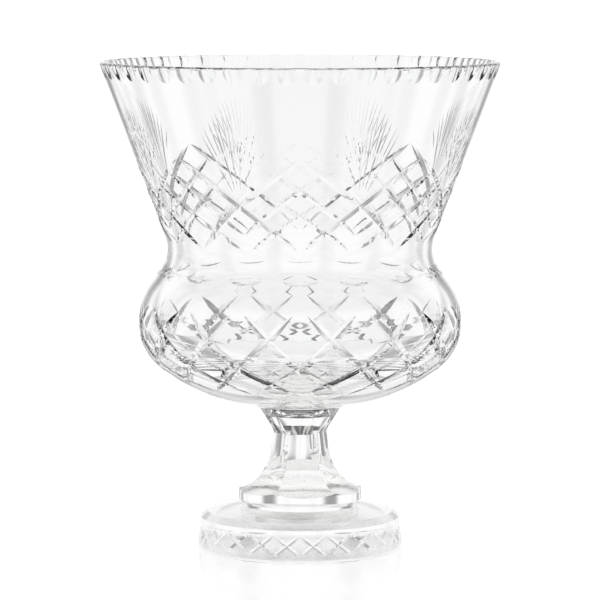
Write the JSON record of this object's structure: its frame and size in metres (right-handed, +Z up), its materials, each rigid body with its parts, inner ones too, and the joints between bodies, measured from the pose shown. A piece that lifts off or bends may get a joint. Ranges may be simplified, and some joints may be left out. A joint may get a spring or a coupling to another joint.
{
  "type": "punch bowl",
  "caption": "Footed punch bowl in clear cut crystal: flared upper wall, waist and round lower bowl on a six-sided flaring stem and a thick round plinth.",
  "frame": {"origin": "centre of the plinth's underside, on the surface the bowl stands on", "axes": "+Z up along the common axis of bowl, stem and plinth; +X and +Y are level and set the turn of the cut pattern"},
  "size_m": [0.3002, 0.3, 0.3681],
  "materials": {
    "crystal": "clear colourless crystal, blown and pressed blanks, cut and acid-polished",
    "glass_adhesive": "thin clear light-cured adhesive film between ground faces"
  },
  "bodies": {
    "root": {"bowl": "crystal", "upper_bond": "glass_adhesive", "stem": "crystal", "lower_bond": "glass_adhesive", "plinth": "crystal"}
  },
  "joints": []
}
